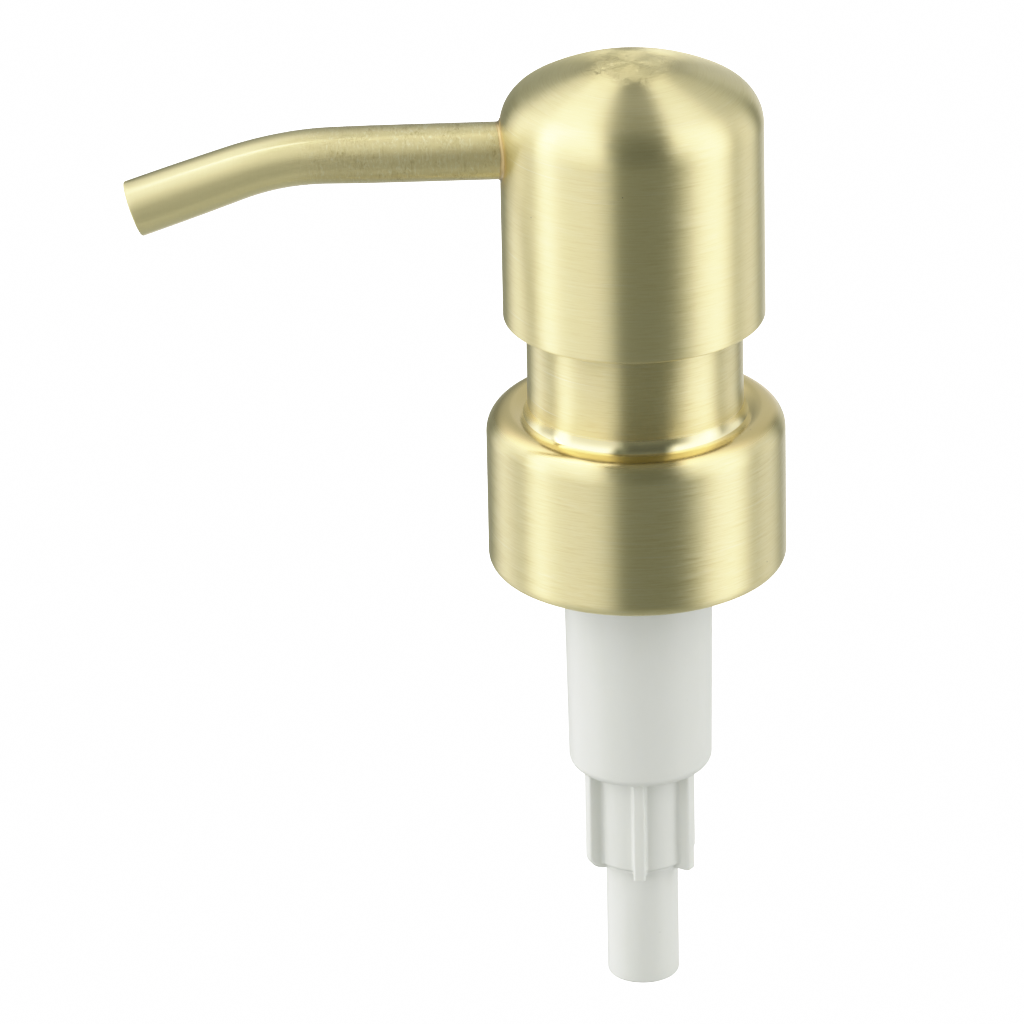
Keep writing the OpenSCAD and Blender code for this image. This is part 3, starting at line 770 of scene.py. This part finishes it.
def make_collar():
    shoulder = (COLLAR_R - SHOULDER_R, COLLAR_TOP - SHOULDER_R)
    tilt = math.radians(DISH)
    rise = (shoulder[0] - SHOULDER_R * math.sin(tilt), shoulder[1] + SHOULDER_R * math.cos(tilt))
    crease = (NECK_R + COVE_REACH, rise[1] - (rise[0] - NECK_R - COVE_REACH) * math.tan(tilt))
    cove = []
    for i in range(COVE_STEPS + 1):
        up = 1 - i / COVE_STEPS
        swell = COVE_LEAN * (1 - up) + (1 - COVE_LEAN) * (1 - up) ** 3
        cove.append((NECK_R + COVE_REACH * swell, crease[1] + COVE_HEIGHT * up))
    rim = (COLLAR_R - COLLAR_RIM_R, collar_low.z + COLLAR_RIM_R)
    outline = path(
        (NECK_R - COLLAR_WALL, collar_high.z),
        (NECK_R - NECK_EDGE, collar_high.z), (NECK_R, collar_high.z - NECK_EDGE),
        cove,
        arc(shoulder, SHOULDER_R, 90 + DISH, 0, 2),
        arc(rim, COLLAR_RIM_R, 0, -90, 4),
        arc(rim, COLLAR_RIM_R - COLLAR_WALL, -90, 0, 8),
        arc(shoulder, SHOULDER_R - COLLAR_WALL, 0, 90 + DISH, 8),
        (NECK_R - COLLAR_WALL, crease[1] - COLLAR_WALL))

    def polish(g, parts, radius):
        top = crease[1] + COVE_HEIGHT
        below = g.spread(parts[2], top - 0.35 * MM, top + 0.10 * MM, 1.0, 0.0, smooth=True)
        above = g.spread(parts[2], shoulder[1], shoulder[1] + 0.6 * MM, 0.0, 1.0, smooth=True)
        inner = g.spread(radius, crease[0] - 0.02 * MM, crease[0] + 0.02 * MM, 1.0, 0.0)
        outer = g.spread(radius, shoulder[0] + DISH_FADE[0], shoulder[0] + DISH_FADE[1],
                         1.0, 0.0, smooth=True)
        # The cove's share also carries its painted highlight, a paler gold.
        cove_share_polish_and_painted_highlight = g.math("MULTIPLY", g.math("MULTIPLY", below, inner), above)
        # The dish's share also carries its painted reflection, a deeper gold.
        dish_share_polish_and_painted_reflection = g.math("MULTIPLY", g.math("MULTIPLY", outer, g.math("SUBTRACT", 1.0, inner)), above)
        return cove_share_polish_and_painted_highlight, dish_share_polish_and_painted_reflection

    vertices, faces = lathe(outline[::-1])
    # The collar's gold is scaled to 0.94 of the head's: painted shade on the lower part.
    new_piece("collar", vertices, faces, "collar", "collar_shell",
              brushed_gold("brushed_gold_collar", 0.8, 0.94, polish=polish), COLLAR_SMOOTH)


BORE_R = 7.1 * MM
BORE_BOTTOM = -32.6 * MM
SEAT_R = 8.1 * MM           # waist that the gasket drops into
SEAT_BOTTOM = -0.3 * MM
FLANGE = (1.22 * MM, 2.6 * MM)      # the flange's underside and top
BARREL_R = 8.3 * MM
BARREL_TOP = -0.5 * MM
BARREL_TAPER = -11 * MM     # height below which the barrel narrows
BARREL_LOW_R = 8.0 * MM
BARREL_BOTTOM = -35.3 * MM
BARREL_CORNER = 1.2 * MM
CHAMBER_R = 5.3 * MM
CHAMBER_BOTTOM = -46.9 * MM
CHAMBER_FOOT = 0.5 * MM
RIB_BOTTOM = -47.35 * MM
RIB_END = 2 * MM            # height over which the ribs' lower ends are shaped
RIB_END_STEPS = 24
RIB_R = 6.65 * MM
RIB_T = 1.35 * MM
RIB_FILLET = 0.45 * MM
RIB_TIP = 0.28 * MM
RIB_TURN = -95              # degrees from +X to the first rib
RIBS = 6
# Each rib's lower corner radius, and how far it stands short of RIB_R, in millimetres.
RIB_ENDS = [(0.2, 0.0), (0.2, 0.0), (0.2, 0.12), (0.8, 0.0), (1.6, 0.0), (1.8, -0.18)]
SPRING_ROOM = (4.4 * MM, -41.5 * MM, -34.1 * MM)    # radius, and lowest and highest height
BALL_ROOM = (3.1 * MM, -45.0 * MM)      # radius, and lowest height
INLET = (1.5 * MM, -46.6 * MM)          # radius, and highest height
SOCKET_R = 4.05 * MM
SOCKET_STEP = 0.35 * MM
SOCKET_RIM = 0.5 * MM
SOCKET_BORE = (3.0 * MM, 12.3 * MM)     # radius and depth
SOCKET_LEAD = 0.25 * MM
VENT_R = 0.6 * MM
VENT_Z = -6.3 * MM


def rib_outline():
    """Half of one rib's outline, from between two ribs to its tip.

    Each point is its angle and its height above the chamber's wall.
    """
    half = RIB_T / 2
    centre = (math.sqrt((CHAMBER_R + RIB_FILLET) ** 2 - (half + RIB_FILLET) ** 2), half + RIB_FILLET)
    foot = math.atan2(centre[1], centre[0])
    flat = [math.pi / RIBS + (foot - math.pi / RIBS) * i / 8 for i in range(8)]
    points = [(CHAMBER_R * math.cos(a), CHAMBER_R * math.sin(a)) for a in flat]
    start = math.degrees(foot) + 180
    points += arc(centre, RIB_FILLET, start, 270, 12)
    points += line((centre[0], half), (RIB_R - RIB_TIP, half), 0.4 * MM)[1:]
    points += arc((RIB_R - RIB_TIP, half - RIB_TIP), RIB_TIP, 90, 0, 15)
    return [(math.atan2(y, x), math.hypot(x, y) - CHAMBER_R) for x, y in points]


def rib_back(height, end):
    """How far a rib's tip stands back at a height above its lower end."""
    rounding, short = end[0] * MM, end[1] * MM
    curve = 0.0
    if height < rounding:
        curve = rounding - math.sqrt(rounding ** 2 - (rounding - height) ** 2)
    return min(curve + short, RIB_R - CHAMBER_R)


def make_housing():
    half = rib_outline()
    sector = [(-a, h) for a, h in half] + [(0.0, RIB_R - CHAMBER_R)] + half[:0:-1]
    around = [(a + math.radians(RIB_TURN) + TURN * i / RIBS, h, i)
              for i in range(RIBS) for a, h in sector]

    def ring(r, z, back=None):
        """A ring of radius r, or out to the rib tips; back is how far each stands short of RIB_R."""
        made = []
        for a, h, i in around:
            share = 0.0 if back is None else max(0.0, RIB_R - back[i] - r) / (RIB_R - CHAMBER_R)
            made.append(((r + h * share) * math.cos(a), (r + h * share) * math.sin(a), z))
        return made

    def plain(points):
        return [ring(r, z) for r, z in points]

    low, high, flange_r = housing_low.z, housing_high.z, housing_high.x
    corner = (BARREL_LOW_R - BARREL_CORNER, BARREL_BOTTOM + BARREL_CORNER)
    rings = plain([(BORE_R, high), (SEAT_R, high), (SEAT_R, FLANGE[1]), (flange_r, FLANGE[1]),
                   (flange_r, FLANGE[0]), (SEAT_R, FLANGE[0]), (SEAT_R, SEAT_BOTTOM),
                   (BARREL_R, BARREL_TOP)])
    rings += plain(line((BARREL_R, BARREL_TAPER), (BARREL_LOW_R, corner[1]), 2 * MM))
    rings += plain(arc(corner, BARREL_CORNER, 0, -90, 6))
    end_top = RIB_BOTTOM + RIB_END
    short = [end[1] * MM for end in RIB_ENDS]
    rings += [ring(CHAMBER_R, z, short) for _, z in line((0, BARREL_BOTTOM), (0, end_top), 1 * MM)]
    for i in range(RIB_END_STEPS + 1):
        z = end_top + (RIB_BOTTOM - end_top) * i / RIB_END_STEPS
        back = [rib_back(z - RIB_BOTTOM, end) for end in RIB_ENDS]
        inset = min(1.0, max(0.0, 1 - (z - CHAMBER_BOTTOM) / CHAMBER_FOOT))
        rings.append(ring(CHAMBER_R - CHAMBER_FOOT * (1 - math.sqrt(1 - inset ** 2)), z, back))
    rings += plain(arc((SOCKET_R + SOCKET_STEP, CHAMBER_BOTTOM - SOCKET_STEP), SOCKET_STEP, 90, 180, 15))
    rings += plain(line((SOCKET_R, CHAMBER_BOTTOM - 1 * MM), (SOCKET_R, low + SOCKET_RIM), 2 * MM))
    rings += plain(arc((SOCKET_R - SOCKET_RIM, low + SOCKET_RIM), SOCKET_RIM, 0, -90, 15))
    bore, depth = SOCKET_BORE
    rings += plain(arc((bore + SOCKET_LEAD, low + SOCKET_LEAD), SOCKET_LEAD, 270, 180, 15))
    rings += plain([(bore, low + 3 * MM), (bore, low + depth), (INLET[0], low + depth), INLET, BALL_ROOM,
                    (BALL_ROOM[0], SPRING_ROOM[1]), (SPRING_ROOM[0], SPRING_ROOM[1]),
                    (SPRING_ROOM[0], SPRING_ROOM[2]), (BORE_R, BORE_BOTTOM)])
    vertices, faces = rings_to_mesh(rings)
    piece = new_piece("pump_housing", vertices, faces, "pump_body", "housing",
                      moulded_plastic("white_plastic", (0.80, 0.81, 0.77), 0.4))
    cut_round(piece, (0, BORE_R * 0.8, VENT_Z), (0, BARREL_R * 1.2, VENT_Z), VENT_R, 24)


SPRING_TURNS = 11
SPRING_DEAD = 1             # close turns at each end
SPRING_WIRE_R = 0.4 * MM
SPRING_STEPS = 40           # rings of points in each turn
SPRING_SIDES = 14


def make_spring():
    low, high = spring_low.z + SPRING_WIRE_R, spring_high.z - SPRING_WIRE_R
    coil = spring_high.x - SPRING_WIRE_R
    close = 2 * SPRING_WIRE_R * 1.05
    pitch = (high - low - 2 * SPRING_DEAD * close) / (SPRING_TURNS - 2 * SPRING_DEAD)

    def height(turn):
        if turn < SPRING_DEAD:
            return low + close * turn
        if turn > SPRING_TURNS - SPRING_DEAD:
            return high - close * (SPRING_TURNS - turn)
        return low + SPRING_DEAD * close + pitch * (turn - SPRING_DEAD)

    rings = []
    for i in range(SPRING_TURNS * SPRING_STEPS + 1):
        turn = i / SPRING_STEPS
        a = TURN * turn
        rings.append([((coil + x) * math.cos(a), (coil + x) * math.sin(a), height(turn) + y)
                      for x, y in circle(SPRING_WIRE_R, SPRING_SIDES)])
    vertices, faces = rings_to_mesh(rings, closed=False)
    n = len(vertices)
    faces += [list(range(SPRING_SIDES))[::-1], list(range(n - SPRING_SIDES, n))]
    piece = new_piece("coil", vertices, [f[::-1] for f in faces], "pump_body", "spring",
                      steel("spring_steel", 0.25))
    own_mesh(piece)


def dress_nodes():
    """Gives every carried-over CAD node its own material."""
    core = moulded_plastic("core_plastic", (0.80, 0.80, 0.77), 0.38)
    stem = moulded_plastic("stem_plastic", (0.82, 0.82, 0.79), 0.28, 0.06)
    soft = moulded_plastic("soft_plastic", (0.70, 0.71, 0.68), 0.5, 0.1, 0.4)
    foam = moulded_plastic("gasket_foam", (0.78, 0.78, 0.75), 0.8, 0.6, 0.3)
    closure = moulded_plastic("closure_plastic", (0.80, 0.81, 0.78), 0.42, 0.2)
    ball = steel("ball_steel", 0.08)
    choice = {"actuator_core": core, "ball_cage": core, "chaplet": core,
              "stem": stem, "piston_retainer": stem, "piston": soft, "stem_seal": soft,
              "gasket": foam, "closure": closure, "inlet_ball": ball, "outlet_ball": ball}
    for name, material in choice.items():
        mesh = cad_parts[name].data
        mesh.materials.clear()
        mesh.materials.append(material)


make_tone()
make_camera()
make_studio()
make_fill()
make_floor()
make_head()
make_spout()
make_braze()
make_collar()
make_housing()
make_spring()
dress_nodes()
